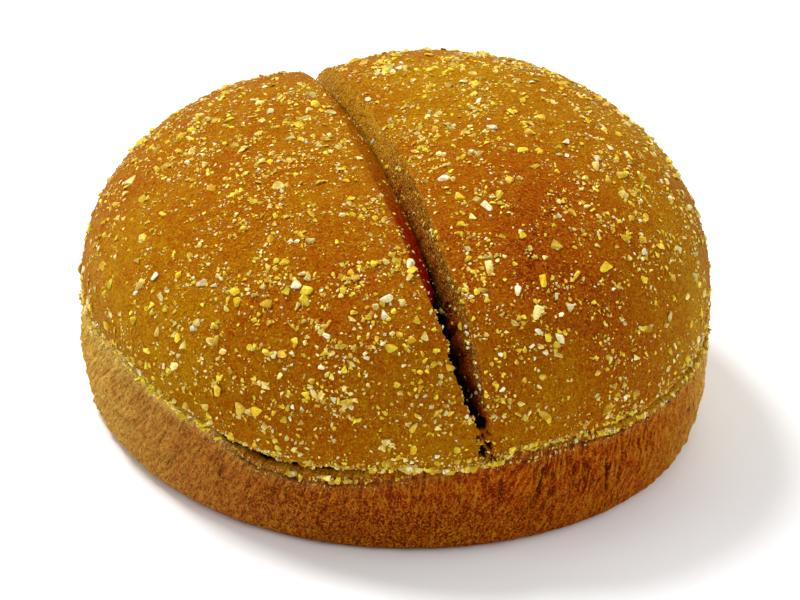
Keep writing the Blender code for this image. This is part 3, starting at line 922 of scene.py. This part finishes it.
def makeHeel():
    angle = np.linspace(-math.pi, math.pi, heel["around"], endpoint=False)
    top, groove = lipHeight(angle) - heelDrop(angle), seamDepth(angle)
    rows = list(heelRings(angle, top, groove))
    radius, z = (np.concatenate([np.broadcast_to(row[k], angle.shape) for row in rows]) for k in (0, 1))
    kind, inset = (np.repeat([row[k] for row in rows], len(angle)) for k in (2, 3))
    turn = np.tile(angle, len(rows))
    outwards = ringWays(turn)
    places = outwards * outlined(radius, turn)[:, None] + np.array((0, 0, 1)) * z[:, None]

    degrees = (np.degrees(turn) + 210) % 360 - 210
    leaning = turn - np.interp(degrees, heel["leanTurns"], heel["leans"]) * z / bread["footRadius"]
    strokes = ringWays(leaning) * bread["footRadius"]
    strokes[:, 2] = z * 0.25
    onShelf, onWall = kind == "shelf", np.isin(kind, ("wall", "seam", "foot"))
    leftSide, grown = bumpAt(turn, *heel["leftSide"]), closing(turn)
    creases = creased(turn, z)
    relief = heel["stroke"] * (0.85 + 0.4 * leftSide) * lumps(strokes, 0.75, 2, shift=2.0)
    relief += heel["folds"] * lumps(strokes, 2.2, shift=8.0) + 0.12 * lumps(places, (7, 7, 9), shift=6.0)
    relief = relief + 0.07 * lumps(places, 0.9, 2, shift=9.0) - creases
    relief = np.where(onWall, relief * smooth(z / 2.2), 0.05 * lumps(places, 1.3, 2, shift=4.0) * onShelf)
    places = places + outwards * (relief * onWall)[:, None]
    places[:, 2] += relief * onShelf

    loops = ringNumbers(len(rows), len(angle))
    inner, outer = len(places), len(places) + 1
    faces = strips(loops)
    faces += [(loops[0][(i + 1) % len(angle)], inner, loops[0][i]) for i in range(len(angle))]
    faces += [(loops[-1][i], outer, loops[-1][(i + 1) % len(angle)]) for i in range(len(angle))]
    places = np.concatenate([places, [[0, 0, top.mean() + 1.5]], [[0, 0, 0]]])

    drop = np.tile(top, len(rows)) - z
    bake = np.interp(degrees, heel["bakeTurns"], heel["bakesLightAndShade"])
    paleFront = smooth((drop - 7) / 5) * bumpAt(turn, *heel["paleFront"])
    # the creases and hollows are painted darker, and strips beside the creases paler: painted shade and
    # painted highlight over the real grooves
    bake = bake - 0.16 * paleFront + 0.6 * np.clip(creases, -0.5, 1)
    nearEdge = bell(drop - 1.2, 1.2) * (0.08 + 0.7 * leftSide + 0.4 * bumpAt(turn, *heel["paleEdge"]))
    # the flour on the left side is partly painted light, where the light falls on it
    floury = nearEdge + 0.64 * leftSide + bumpAt(turn, *heel["flouryRight"])
    floury = floury * ~onShelf + 0.8 * onShelf * grown
    # painted shade: near black in the crevice under the lip where it gapes
    crevice = smooth((inset - 0.95 - 0.1 * gaping(turn)) / 0.35) * (1 - grown)
    # painted shade in the second seam's groove
    seamShade = np.tile(groove, len(rows)) * bell(drop - heel["edgeRound"] - heel["seamDrop"], 0.3)
    # the share over the gape is painted light on the shelf, which lies in the lip's shade
    ledge = 0.15 + 0.75 * bumpAt(turn, *heel["whiteLedge"]) + 0.1 * gaping(turn)
    ledge = bell(drop, 0.5 + 0.45 * ledgeAt(turn)) * ledge
    values = {
        "bake": np.where(onShelf, 0.38 - 0.26 * grown, bake),
        "floury": np.clip(floury, 0, 1),
        "porous": smooth((14.0 - z) / 7) * np.clip(1.2 * bumpAt(turn, *heel["spongyFront"]), 0, 1),
        # painted shade, near black, in the crevice and in the seam's groove
        "paintedShade": np.clip(np.where(onShelf, crevice, 1.5 * seamShade * (kind == "seam")), 0, 1),
        "rim": np.clip(ledge * (1 - flapAt(turn)), 0, 1),
    }
    values = {name: np.append(value, [0, 0]) for name, value in values.items()}
    values["strokes"] = np.concatenate([strokes, [[0, 0, 0], [0, 0, 0]]])
    return makePiece("heel", places, faces, bakedHeel, values, 75)


heelPiece = makeHeel()


# the cornmeal

grits = {  # the largest, which the solid has too
    "seed": 29,
    "count": 190,
    "longest": 2.4,
    "shortest": 1.3,
    "fall": 0.6,
    "width": 0.78,
    "widthSpread": 0.2,
    "sunk": 0.02,
    "spacing": 4.2,
    "lowest": 2.6,
    "slashBare": 5.2,
    "steepest": 6,
    "slopeStep": 0.1,
    "bareShare": 0.45,
    # where they lie thicker: x, y, radius, more
    "patches": (
        (-20, -38, 22, 1), (12, -40, 16, 0.6), (18, 12, 30, 0.8), (44, -10, 16, 0.6), (-36, 4, 22, 0.6),
    ),
    "shapeDraws": 12,  # what the solid draws for each one's shape
}


def solidGrits():  # the same draw as the solid's, so they lie in the same places
    draw = random.Random(grits["seed"])
    places, outs = [], []
    while len(places) < grits["count"]:
        rise = bread["crownRise"] * draw.random()
        angle = math.tau * draw.random()
        lean = draw.random()
        luck = draw.random()
        radius = float(domeRadius(rise))
        wider = float(domeRadius(max(rise - grits["slopeStep"], 0))) - radius
        area = radius / bread["crownRadius"] * math.hypot(1, wider / grits["slopeStep"]) / grits["steepest"]
        if lean > area or rise < grits["lowest"]:
            continue
        here = domePlace(radius, angle, rise)
        share = grits["bareShare"]
        for patchX, patchY, patchRadius, more in grits["patches"]:
            away = (here[0] - patchX) ** 2 + (here[1] - patchY) ** 2
            share += more * math.exp(-away / patchRadius**2)
        if luck > min(share, 1) or abs(here[0] - slashX(wayOf(here))) < grits["slashBare"]:
            continue
        if any(np.linalg.norm(here - other) < grits["spacing"] for other in places):
            continue
        lower = rise * 0.99
        down = domePlace(float(domeRadius(lower)), angle, lower) - here
        out = np.cross(down, domePlace(radius, angle + 0.01, rise) - here)
        places.append(here)
        outs.append(out / np.linalg.norm(out))
    lengths, widths, spins = [], [], []
    for number in range(grits["count"]):
        share = (number / (grits["count"] - 1)) ** grits["fall"]
        lengths.append(grits["longest"] + (grits["shortest"] - grits["longest"]) * share)
        for _ in range(grits["shapeDraws"]):
            draw.uniform(-1, 1)
        widths.append(lengths[-1] * grits["width"] * (1 + grits["widthSpread"] * draw.uniform(-1, 1)))
        spins.append(draw.uniform(0, math.tau))
    return [np.array(values) for values in (places, outs, lengths, widths, spins)]


grainTones = {  # the two ends of a grit's colour, linear
    "golden": ((0.72, 0.44, 0.003), (0.97, 0.78, 0.05)),
    "amber": ((0.56, 0.26, 0.004), (0.88, 0.59, 0.05)),
    "cream": ((0.74, 0.47, 0.06), (0.98, 0.84, 0.3)),
    "white": ((0.86, 0.73, 0.33), (0.99, 0.94, 0.64)),
}

sprinkle = {
    "seed": 7,
    # from and to length in millimetres, how many, how many of them cling to another, the shapes used
    "sizes": (
        (0.17, 0.32, 8500, 0.3, "tiny"),
        (0.32, 0.58, 6200, 0.38, "small"),
        (0.58, 0.95, 2750, 0.42, "middling"),
        (0.95, 1.3, 760, 0.4, "coarse"),
        (1.3, 1.65, 120, 0.2, "coarse"),
    ),
    # shapes: how many kinds, corners, how far and in how many steps their edges are rounded
    "shapes": {
        "tiny": (10, 7, 0, 0), "small": (12, 9, 0, 0),
        "middling": (16, 11, 0, 0), "coarse": (16, 10, 0.12, 1),
    },
    "clinging": (0.35, 0.5, 0.5),  # how far off the others: nearest, further at random, more for its size
    "dustSize": 0.7,  # what is finer than this counts as dust
    "thickest": 2.6,  # no grit is left out where it lies this thickly
    "bare": (0.42, 0.8),  # how thickly the grits and the dust lie away from the patches
    "thinner": (20, 42, 0.62),  # the share that lies low down, from and to which height
    # where it lies thicker: x, y, z, radius, more
    "patches": (
        (-26, -29, 38, 4.5, 2), (-23, -37, 34, 6, 1.5), (-25, -41, 29, 5, 1), (-33, -21, 38, 6, 0.4),
        (-31, 8, 41, 7, 0.5), (-22, -6, 45, 7, 1.1), (-15, 12, 46, 9, 1.3), (2, -6, 47, 5, 1.1),
        (10, 0, 49, 7, 1.3), (28, -25, 44, 6, 1.8), (27, -34, 40, 5, 0.2), (9, -46, 33, 6, 0.3),
        (-11, -45, 31, 5, 2), (-31, -36, 29, 5, 1.2), (-25, -43, 26, 5, 1.8), (-3, -48, 27, 5, 1.2),
        (-43, -25, 26, 5, 1), (-16, -46, 27, 5, 1), (-1, -38, 40, 5, 0.7), (-34, -37, 22, 4, 1),
        (-17, -47, 19, 6, 0.8), (-2, -50, 19, 5, 0.8), (2, -50, 24, 5, 1.1), (15, -48, 19, 5, 0.3),
        (-10, -19, 45, 5, 1.6), (-10, -31, 42, 4, 0.9), (3, -43, 36, 4, 0.9), (18, -43, 34, 5, 0.3),
        (-40, -29, 26, 5, 0.9), (26, -43, 26, 7, -0.35), (6, 22, 47, 3, 4), (20, 22, 44, 14, 0.9),
        (-24, 34, 34, 12, 0.6), (40, 14, 32, 10, 0.6),
    ),
    "dustPatches": 0.35,
    "clumps": (5.5, 1.5),  # their size, how much they matter
    "lip": (1.3, 1.5),  # a thicker band just over the lip: its height, how much more
    "inSlash": (0.1, 0.22),  # the share of the grits and of the dust that stays inside the slash
    "thickness": (0.42, 0.62),
    "width": (0.6, 0.95),
    "tilt": 22,
    "brightness": (0.62, 1.02),
    # how much is golden, amber, cream and white
    "large": (0.36, 0.26, 0.3, 0.08),
    "dust": (0.22, 0.34, 0.36, 0.08),
    # x, y, z, length, kind of the ones that stand out
    "standOut": (
        (-38, -19, 34.5, 1.9, "white"), (-44, -12, 33, 1.6, "white"), (-9.6, -31.5, 41.5, 1.8, "white"),
        (-9.8, -32.8, 41.2, 1.7, "golden"), (4.5, -25.5, 46, 2, "white"), (7.2, -23.5, 46.5, 1.8, "golden"),
        (29, -20, 45.5, 2.1, "golden"), (-26.5, -28.5, 38.3, 1.9, "white"), (-25.2, -30, 37.8, 2, "golden"),
        (-17.7, 15.8, 44.8, 1.7, "white"), (-24, 17.5, 42.5, 1.7, "golden"),
        (27.5, -24.5, 44.6, 1.8, "cream"), (9.5, -45.5, 33.6, 1.7, "white"),
        (-40, -32, 23.5, 1.9, "golden"), (-34.5, -36.5, 22.3, 2, "golden"),
        (5, 23.5, 46.9, 1.5, "white"), (6.4, 22, 47.1, 1.3, "white"), (7.4, 24, 46.9, 1.2, "white"),
        (6.8, 20.5, 47.4, 1.1, "cream"), (8.5, 19, 47.6, 1.6, "golden"), (4.8, 21.2, 47.2, 1.2, "white"),
        (3.6, 22.4, 47, 1.1, "white"),
    ),
}

seamGrits = {  # those that stuck along the fold and the seam
    # the line they follow, from and to turn, how many, shortest, longest, width share, height over it,
    # spread, shares of each kind
    "rows": (
        ("lip", -113, -88, 56, 0.55, 1.45, 0.8, -0.15, 0.18, (0.5, 0.2, 0.25, 0.05)),
        ("lip", -92, -62, 34, 0.45, 1.15, 0.8, -0.1, 0.35, (0.45, 0.25, 0.28, 0.02)),
        ("lip", -88, -8, 46, 0.45, 1.15, 0.8, -0.1, 0.3, (0.45, 0.25, 0.28, 0.02)),
        ("ledge", -129, -107, 40, 0.5, 1.25, 0.75, 0.05, 0.25, (0.45, 0.22, 0.31, 0.02)),
        ("ledge", -84, -54, 44, 0.4, 1, 0.8, 0, 0.24, (0.35, 0.3, 0.32, 0.03)),
        ("ledge", -47, -32, 40, 0.45, 1.1, 0.8, 0, 0.25, (0.45, 0.2, 0.3, 0.05)),
        ("lip", -207, -161, 70, 0.5, 1.4, 0.32, 0.15, 0.3, (0.5, 0.26, 0.2, 0.04)),
        ("lip", -161, -140, 120, 0.6, 1.7, 0.28, 0.15, 0.3, (0.66, 0.14, 0.16, 0.04)),
        ("lip", -146, -113, 60, 0.35, 0.8, 0.6, 0.35, 0.25, (0.4, 0.25, 0.3, 0.05)),
        ("ledge", -207, -138, 560, 0.14, 0.3, 0.85, -0.55, 0.65, (0.15, 0.25, 0.45, 0.15)),
        ("ledge", -138, -84, 520, 0.14, 0.32, 0.85, -0.3, 0.5, (0.25, 0.35, 0.35, 0.05)),
        ("ledge", -100, -60, 260, 0.16, 0.42, 0.85, -0.7, 0.7, (0.25, 0.3, 0.35, 0.1)),
        ("ledge", -84, -8, 260, 0.14, 0.34, 0.85, -0.3, 0.55, (0.2, 0.4, 0.35, 0.05)),
        ("lip", -207, -88, 560, 0.14, 0.34, 0.8, 0.15, 0.3, (0.3, 0.25, 0.35, 0.1)),
        ("lip", -88, -8, 130, 0.14, 0.34, 0.8, 0.15, 0.3, (0.25, 0.35, 0.35, 0.05)),
    ),
    "tinyBelow": 0.5,  # the rows whose longest are shorter than this use the tiny shapes
    "sliver": 0.4,  # those narrower than this lie along the seam
}

slashGrits = {  # those that hang along the lower end of the slash
    "count": 44,
    "way": (0.035, 0.26),
    "under": 0.5,  # how far under the crust they are
    "length": (0.4, 0.85),
    "kinds": (0.32, 0.2, 0.33, 0.15),
}


def sortedMesh(places, faces):  # the hull's own order of corners and faces changes from run to run
    order = np.lexsort(np.round(places, 5).T)
    faces = np.argsort(order)[faces]
    faces = np.array([np.roll(face, -face.argmin()) for face in faces])
    return places[order], faces[np.lexsort(faces.T)]


def unitShapes(draw, count, corners, rounding, rounds):  # broken grains that just fill a cube of side 2
    shapes = []
    for _ in range(count):
        bm = bmesh.new()
        for _ in range(corners):
            way = Vector([draw.gauss(0, 1) for _ in range(3)]).normalized()
            bm.verts.new(way * draw.uniform(0.78, 1.0))
        hull = bmesh.ops.convex_hull(bm, input=bm.verts)
        loose = [item for item in hull["geom_interior"] if isinstance(item, bmesh.types.BMVert)]
        bmesh.ops.delete(bm, geom=loose, context="VERTS")
        if rounding:
            bmesh.ops.dissolve_limit(bm, angle_limit=math.radians(12), verts=bm.verts, edges=bm.edges)
            how = {"offset": rounding, "segments": rounds, "profile": 0.5, "clamp_overlap": True}
            bmesh.ops.bevel(bm, geom=list(bm.edges), affect="EDGES", **how)
        bmesh.ops.triangulate(bm, faces=bm.faces)
        bm.verts.index_update()
        places = np.array([v.co[:] for v in bm.verts])
        faces = np.array([[v.index for v in face.verts] for face in bm.faces])
        bm.free()
        places, faces = sortedMesh(places, faces)
        if rounding:
            places += 0.05 * lumps(places, 0.5, 1, draw.random() * 50)[:, None] * places
        low, high = places.min(0), places.max(0)
        shapes.append(((places - (low + high) / 2) / ((high - low) / 2), faces))
    return shapes


def unit(ways):
    return ways / np.linalg.norm(ways, axis=1, keepdims=True)


def frames(outs, spins, tilts, draw):  # three axes for each grit, the third leaning off the way out
    first = unit(np.cross(np.where(np.abs(outs[:, 2:]) > 0.9, [[1.0, 0, 0]], [[0, 0, 1.0]]), outs))
    second = np.cross(outs, first)
    lean = draw.random(len(outs)) * math.tau
    up = outs + (first * np.cos(lean)[:, None] + second * np.sin(lean)[:, None]) * np.tan(tilts)[:, None]
    up = unit(up)
    along = first * np.cos(spins)[:, None] + second * np.sin(spins)[:, None]
    along = unit(along - up * (along * up).sum(1, keepdims=True))
    return np.stack([along, np.cross(up, along), up], 1)


def copies(shape, centres, axes, sizes, tones, draw):  # of one shape: places, faces and colours
    corners, faces = shape
    number = len(centres)
    places = np.einsum("nvk,nkj->nvj", corners[None] * (sizes / 2)[:, None, :], axes) + centres[:, None]
    ways = unit(draw.normal(size=(number, 3)))
    blend = np.clip(0.5 + 0.75 * np.einsum("vk,nk->nv", corners, ways), 0, 1)[..., None]
    colour = tones[0] * (1 - blend) + tones[1] * blend
    colour = colour * draw.uniform(*sprinkle["brightness"], (number, 1, 1))
    shift = np.arange(number)[:, None, None] * len(corners)
    return places.reshape(-1, 3), (faces[None] + shift).reshape(-1, 3), colour.reshape(-1, 3)


def crownSurface():  # its outer faces, and their areas
    mesh = crownPiece.data
    places = np.empty(len(mesh.vertices) * 3)
    mesh.vertices.foreach_get("co", places)
    places = (places.reshape(-1, 3) - np.array(bunMiddle)) / millimetre
    corners = np.empty(len(mesh.loops), np.int32)
    mesh.loops.foreach_get("vertex_index", corners)
    corners = corners[: crownTopFaces * 4].reshape(-1, 4)
    a, b, c, d = (places[corners[:, k]] for k in range(4))
    area = np.linalg.norm(np.cross(c - a, d - b), axis=1) / 2
    return BVHTree.FromPolygons(places.tolist(), corners.tolist()), (a, b, c, d), area


def breadSurface():  # all that they can lie on
    places, faces = [], []
    for piece in (crownPiece, lipPiece, heelPiece):
        start = len(places)
        places += [((v.co - bunMiddle) / millimetre)[:] for v in piece.data.vertices]
        faces += [[start + number for number in face.vertices] for face in piece.data.polygons]
    return BVHTree.FromPolygons(places, faces)


def settled(tree, spots):  # the nearest places on the bread, and the ways out of it there
    hits = [tree.find_nearest(Vector(spot)) for spot in spots]
    return np.array([hit[0] for hit in hits]), np.array([hit[1] for hit in hits])


def thickness(places, dust):  # how thickly the cornmeal lies
    thick = np.full(len(places), sprinkle["bare"][dust])
    for x, y, z, radius, more in sprinkle["patches"]:
        away = ((places - (x, y, z)) ** 2).sum(1) / radius**2
        thick += more * (sprinkle["dustPatches"] if dust else 1.0) * np.exp(-away)
    size, more = sprinkle["clumps"]
    thick *= np.clip(1 + more * lumps(places, size, 3, shift=17.0), 0.15, 2.4)
    lowest, full, least = sprinkle["thinner"]
    thick *= least + (1 - least) * smooth((places[:, 2] - lowest) / (full - lowest))
    height, more = sprinkle["lip"]
    overLip = places[:, 2] - lipHeight(turnOf(places)) - 0.4
    thick += more * bell(overLip, height) * (1.0 if dust else 0.5)
    way = wayOf(places)
    across = places[:, 0] - slashX(way)
    left, right = alongSlash(way, "left", "right")
    return np.where((across > -left) & (across < right * 0.95), thick * sprinkle["inSlash"][dust], thick)


def layGrits():
    draw = np.random.default_rng(sprinkle["seed"])
    shapeDraw = random.Random(sprinkle["seed"])
    shapes = {name: unitShapes(shapeDraw, *made) for name, made in sprinkle["shapes"].items()}
    tree, corners, area = crownSurface()
    nearest, further, room = sprinkle["clinging"]
    heaps = {kind: [] for kind in grainTones}
    kindNames = list(grainTones)

    def lay(centres, outs, lengths, widths, spins, tilts, kinds, family, lift=0.06):
        thick = lengths * draw.uniform(*sprinkle["thickness"], len(lengths))
        axes = frames(outs, spins, np.broadcast_to(tilts, lengths.shape), draw)
        sizes = np.stack([lengths, widths, thick], 1)
        centres = centres + outs * (lift * lengths)[:, None]
        which = draw.integers(0, len(shapes[family]), len(lengths))
        for kind, tones in grainTones.items():
            for number, shape in enumerate(shapes[family]):
                pick = (which == number) & (kinds == kind)
                if pick.any():
                    lot = copies(shape, centres[pick], axes[pick], sizes[pick], np.array(tones), draw)
                    heaps[kind].append(lot)

    places, outs, lengths, widths, spins = solidGrits()
    kinds = draw.choice(kindNames, len(places), p=sprinkle["large"])
    lay(places, outs, lengths, widths, spins, 0.05, kinds, "coarse", grits["sunk"])

    lengths, kinds = (np.array([row[k] for row in sprinkle["standOut"]]) for k in (3, 4))
    standing, outs = settled(tree, [row[:3] for row in sprinkle["standOut"]])
    lay(standing, outs, lengths, lengths * 0.8, draw.random(len(lengths)) * math.tau, 0.1, kinds, "coarse")
    laid = [places, standing]

    for smallest, largest, count, clinging, family in sprinkle["sizes"]:
        dust = largest < sprinkle["dustSize"]
        tries = count * 5
        faceAt = draw.choice(len(area), tries, p=area / area.sum())
        u, v = draw.random((tries, 1)), draw.random((tries, 1))
        a, b, c, d = (corner[faceAt] for corner in corners)
        spots = (a * (1 - u) + b * u) * (1 - v) + (d * (1 - u) + c * u) * v
        spots = spots[draw.random(tries) * sprinkle["thickest"] < thickness(spots, dust)]
        spots = spots[: int(count * (1 - clinging))]
        parents = np.concatenate(laid + [spots])
        beside = parents[draw.integers(0, len(parents), count - len(spots))]
        away = unit(draw.normal(size=beside.shape))
        away *= (nearest + further * draw.random(len(away)) ** 2 + room * largest)[:, None]
        spots, outs = settled(tree, np.concatenate([spots, beside + away]))
        laid.append(spots)
        lengths = smallest + (largest - smallest) * draw.random(count) ** 1.5
        widths = lengths * draw.uniform(*sprinkle["width"], count)
        spins = draw.random(count) * math.tau
        tilts = np.radians(sprinkle["tilt"]) * draw.random(count)
        kinds = draw.choice(kindNames, count, p=sprinkle["dust" if dust else "large"])
        lay(spots, outs, lengths, widths, spins, tilts, kinds, family)

    tree = breadSurface()
    for line, first, last, count, shortest, longest, width, height, spread, shares in seamGrits["rows"]:
        turn = np.radians(first + (last - first) * draw.random(count * 4))
        clumped = np.clip(0.45 + 1.3 * roundLumps(turn, 2.2, 2, shift=count), 0.06, 1)
        turn = turn[draw.random(count * 4) < clumped][:count]
        z = lipHeight(turn) - (crown["flap"] * flapAt(turn) if line == "lip" else heelDrop(turn))
        z = z + height + spread * draw.normal(size=len(turn))
        spots = ringWays(turn) * outlined(bread["crownRadius"] + 0.3, turn)[:, None]
        spots[:, 2] = z
        spots, outs = settled(tree, spots)
        lengths = draw.uniform(shortest, longest, len(turn))
        spins = draw.random(len(turn)) * math.tau
        if width < seamGrits["sliver"]:
            spins = 0.35 * draw.normal(size=len(turn))
        kinds = draw.choice(kindNames, len(turn), p=shares)
        widths = lengths * width * draw.uniform(0.8, 1.2, len(turn))
        family = "tiny" if longest < seamGrits["tinyBelow"] else "middling"
        lay(spots, outs, lengths, widths, spins, 0.25, kinds, family, 0.1)

    count = slashGrits["count"]
    way = draw.uniform(*slashGrits["way"], count)
    across = draw.uniform(-1, 1, count)
    left, footRight = alongSlash(way, "left", "footRight")
    across = np.where(across > 0, footRight + 0.3, left) * across
    spots, outs = settled(tree, [besideCrease(w, a, -slashGrits["under"]) for w, a in zip(way, across)])
    lengths = draw.uniform(*slashGrits["length"], count)
    spins = draw.random(count) * math.tau
    kinds = draw.choice(kindNames, count, p=slashGrits["kinds"])
    lay(spots, outs, lengths, lengths * 0.8, spins, 0.3, kinds, "middling", 0.1)
    print("grits laid")
    return heaps


def makeGrits(kind, roughness):
    faces, start = [], 0
    for places, lotFaces, _colours in heaps[kind]:
        faces += (lotFaces + start).tolist()
        start += len(places)
    places, colours = (np.concatenate([lot[k] for lot in heaps[kind]]) for k in (0, 2))
    facts = {"tint": np.append(colours, np.ones((len(colours), 1)), 1)}
    makePiece(kind + "Grits", places, faces, grainMaterial(kind + "Grain", roughness), facts)


heaps = layGrits()
makeGrits("golden", 0.4)
makeGrits("amber", 0.42)
makeGrits("cream", 0.5)
makeGrits("white", 0.55)


# floor, lights and camera

def makeFloor():
    mesh = bpy.data.meshes.new("floor")
    mesh.from_pydata([(-2, -2, 0), (2, -2, 0), (2, 2, 0), (-2, 2, 0)], [], [(0, 1, 2, 3)])
    mix = Mixture("paleFloor", 0.1)
    tone = mix.ranged(mix.grain(mix.place(), 0.02), 0.3, 0.7)
    colour = mix.layered((0.9, 0.9, 0.9, 1), (tone, (0.93, 0.93, 0.93, 1)))
    mesh.materials.append(mix.finished(colour, 0.9))
    addObject("floor", mesh)


studio = {
    "sky": 0.55,
    # azimuth and height in degrees from the bun, distance, size, power in watts
    "lights": {
        "key": (120, 54, 1.1, 0.36, 11.2),
        "fill": (-70, 40, 1.2, 0.7, 2.6),
        "back": (60, 60, 1.2, 0.7, 1.8),
        "right": (-8, 26, 1.2, 0.7, 2.7),
        "left": (178, 22, 1.2, 0.6, 2.4),
    },
}


def makeLight(name, azimuth, height, distance, size, power):
    turn, tilt = math.radians(azimuth), math.radians(height)
    lamp = bpy.data.lights.new(name, "AREA")
    lamp.shape = "DISK"
    lamp.size = size
    lamp.energy = power
    out = Vector((math.cos(turn) * math.cos(tilt), math.sin(turn) * math.cos(tilt), math.sin(tilt)))
    made = addObject(name, lamp)
    made.location = out * distance
    made.rotation_euler = out.to_track_quat("Z", "Y").to_euler()


def makeSky():
    world = bpy.data.worlds.new("studio")
    bpy.context.scene.world = world
    world.use_nodes = True
    background = world.node_tree.nodes["Background"]
    background.inputs["Color"].default_value = (1, 1, 1, 1)
    background.inputs["Strength"].default_value = studio["sky"]


view = {
    "azimuth": -20,
    "elevation": 30,
    "roll": 3,
    "distance": 0.45,
    "aim": (0.506, -0.184, 15.955),  # from the foot's middle, in millimetres
    "lens": 123.04,
    "sensor": 36,
}


def makeCamera():
    lens = bpy.data.cameras.new("camera")
    lens.lens = view["lens"]
    lens.sensor_width = view["sensor"]
    lens.clip_start = 0.01
    camera = addObject("camera", lens)
    place = Matrix.Identity(4)
    for turn, axis in ((view["azimuth"], "Z"), (90 - view["elevation"], "X"), (view["roll"], "Z")):
        place = place @ Matrix.Rotation(math.radians(turn), 4, axis)
    back = place.col[2].xyz * view["distance"]
    place.translation = bunMiddle + Vector(view["aim"]) * millimetre + back
    camera.matrix_world = place
    bpy.context.scene.camera = camera


makeFloor()
makeSky()
for name, values in studio["lights"].items():
    makeLight(name, *values)
makeCamera()
bpy.context.scene.view_settings.view_transform = "Standard"
print("floor, lights and camera placed")
